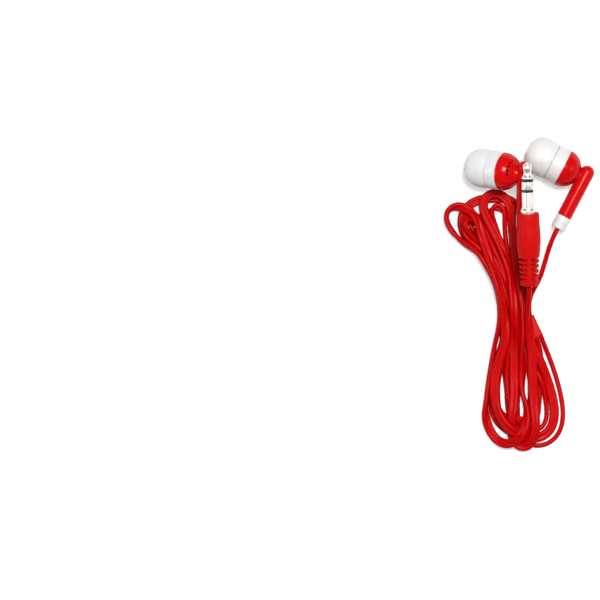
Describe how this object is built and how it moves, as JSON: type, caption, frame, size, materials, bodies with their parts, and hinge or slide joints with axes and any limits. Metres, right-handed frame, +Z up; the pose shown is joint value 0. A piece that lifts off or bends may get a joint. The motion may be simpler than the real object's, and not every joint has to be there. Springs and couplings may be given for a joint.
{
  "type": "wired in-ear earphones",
  "caption": "Red and white wired in-ear earphones with white silicone tips and a 3.5 mm plug, their twin cord folded into a loose hank.",
  "frame": {"origin": "on the resting surface, under the middle of the two earbuds' joint box", "axes": "+X across the set from the left earbud to the right one, +Y from the hank to the earbuds, +Z up from the resting surface"},
  "size_m": [0.0457, 0.0922, 0.0197],
  "materials": {
    "red_plastic": "gloss",
    "white_plastic": "satin",
    "silicone": "matte",
    "red_pvc": "satin",
    "plug_metal": "polished",
    "steel": "brushed",
    "black_plastic": "satin",
    "magnet": "satin",
    "copper": "satin",
    "film": "satin",
    "felt": "matte",
    "board": "satin"
  },
  "bodies": {
    "laid_set": {"left_nozzle_mesh": "steel", "left_front_housing": "white_plastic", "left_driver_frame": "black_plastic", "left_pole_plate": "steel", "left_magnet": "magnet", "left_yoke": "steel", "left_damping_ring": "felt", "left_terminal_board": "board", "left_rear_housing": "red_plastic", "left_strain_relief": "white_plastic", "y_splitter": "red_pvc", "plug_cord": "red_pvc", "left_cord": "red_pvc", "right_cord": "red_pvc", "hank_upper_loops": "red_pvc", "hank_lower_loops": "red_pvc"},
    "left_tip": {"left_ear_tip": "silicone"},
    "left_cone": {"left_diaphragm": "film", "left_voice_coil": "copper"},
    "right_earbud": {"right_nozzle_mesh": "steel", "right_front_housing": "white_plastic", "right_driver_frame": "black_plastic", "right_pole_plate": "steel", "right_magnet": "magnet", "right_yoke": "steel", "right_damping_ring": "felt", "right_terminal_board": "board", "right_rear_housing": "red_plastic", "right_strain_relief": "white_plastic"},
    "right_tip": {"right_ear_tip": "silicone"},
    "right_cone": {"right_diaphragm": "film", "right_voice_coil": "copper"},
    "plug": {"plug_tip": "plug_metal", "plug_tip_insulator": "black_plastic", "plug_ring": "plug_metal", "plug_ring_insulator": "black_plastic", "plug_sleeve": "plug_metal", "plug_inner_mould": "black_plastic", "plug_overmould": "red_pvc"}
  },
  "joints": [
    {"name": "left_ear_tip_pull", "type": "slide", "parent": "laid_set", "child": "left_tip", "axis": [-0.8613, 0.1519, -0.4848], "range_m": [0, 0.003]},
    {"name": "right_ear_tip_pull", "type": "slide", "parent": "right_earbud", "child": "right_tip", "axis": [-0.8854, 0.4648, 0], "range_m": [0, 0.003]},
    {"name": "left_diaphragm_travel", "type": "slide", "parent": "laid_set", "child": "left_cone", "axis": [-0.8613, 0.1519, -0.4848], "range_m": [-0.0002, 0.0002], "stiffness_N_per_m": 100},
    {"name": "right_diaphragm_travel", "type": "slide", "parent": "right_earbud", "child": "right_cone", "axis": [-0.8854, 0.4648, 0], "range_m": [-0.0002, 0.0002], "stiffness_N_per_m": 100},
    {"name": "right_earbud_swing", "type": "hinge", "parent": "laid_set", "child": "right_earbud", "pos_m": [0.00749, -0.0139, 0.00575], "axis": [0, 0, 1], "range_deg": [-35, 0]},
    {"name": "plug_lift", "type": "hinge", "parent": "laid_set", "child": "plug", "pos_m": [-0.00044, -0.03023, 0.01109], "axis": [1, 0, 0], "range_deg": [0, 35]}
  ]
}
